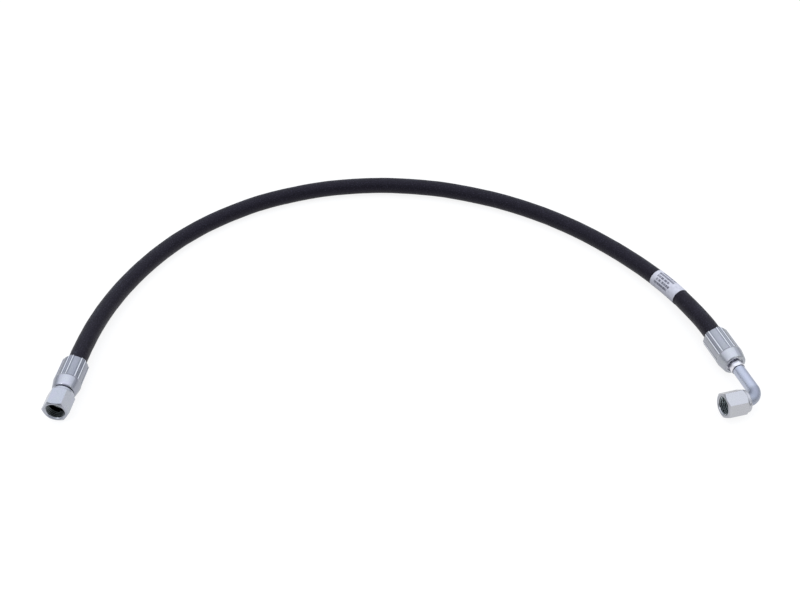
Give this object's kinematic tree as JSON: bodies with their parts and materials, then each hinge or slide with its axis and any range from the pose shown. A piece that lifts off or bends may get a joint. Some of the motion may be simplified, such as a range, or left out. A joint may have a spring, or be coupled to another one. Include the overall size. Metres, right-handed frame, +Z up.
{
  "type": "hydraulic hose assembly",
  "caption": "Black rubber hydraulic hose lying in an arc, with a crimped straight swivel fitting on one end and a crimped right-angle tube fitting with a swivel nut on the other.",
  "frame": {"origin": "on the surface that the assembly lies on, under the middle of the box round the two fittings", "axes": "+Z up from that surface, +X from the straight fitting towards the elbow fitting, +Y from the fittings towards the middle of the hose's arc"},
  "size_m": [0.5588, 0.3172, 0.022],
  "materials": {
    "cover_rubber": "matte, fine fabric-wrap texture across the hose",
    "tube_rubber": "matte",
    "braid_wire": "brass-coated steel wire, braided",
    "label_film": "matte printed film",
    "ferrule_plate": "bright bluish zinc plate, satin where the dies pressed it",
    "fitting_plate": "bright bluish zinc plate, turned",
    "nut_plate": "bright bluish zinc plate, satin flats and turned shoulders",
    "tube_plate": "smooth bluish zinc plate",
    "braze_joint": "plated braze fillet",
    "seal_rubber": "smooth"
  },
  "bodies": {
    "hose_assembly": {"hose_inner_tube": "tube_rubber", "hose_inner_braid": "braid_wire", "hose_friction_layer": "tube_rubber", "hose_outer_braid": "braid_wire", "hose_cover": "cover_rubber", "label_sleeve": "label_film", "ferrule_a": "ferrule_plate", "insert_a": "fitting_plate", "cone_seal_a": "seal_rubber", "ferrule_b": "ferrule_plate", "insert_b": "fitting_plate", "elbow_tube": "tube_plate", "stem_braze": "braze_joint", "cone_head_b": "fitting_plate", "cone_seal_b": "seal_rubber"},
    "nut_a": {"swivel_nut_a": "nut_plate"},
    "nut_b": {"swivel_nut_b": "nut_plate"}
  },
  "joints": [
    {"name": "nut_a_spin", "type": "hinge", "parent": "hose_assembly", "child": "nut_a", "pos_m": [-0.26695, -0.02372, 0.011], "axis": [-0.0872, -0.9962, 0], "continuous": true},
    {"name": "nut_b_spin", "type": "hinge", "parent": "hose_assembly", "child": "nut_b", "pos_m": [0.2647, -0.03094, 0.011], "axis": [-0.9636, -0.2672, 0], "continuous": true}
  ]
}
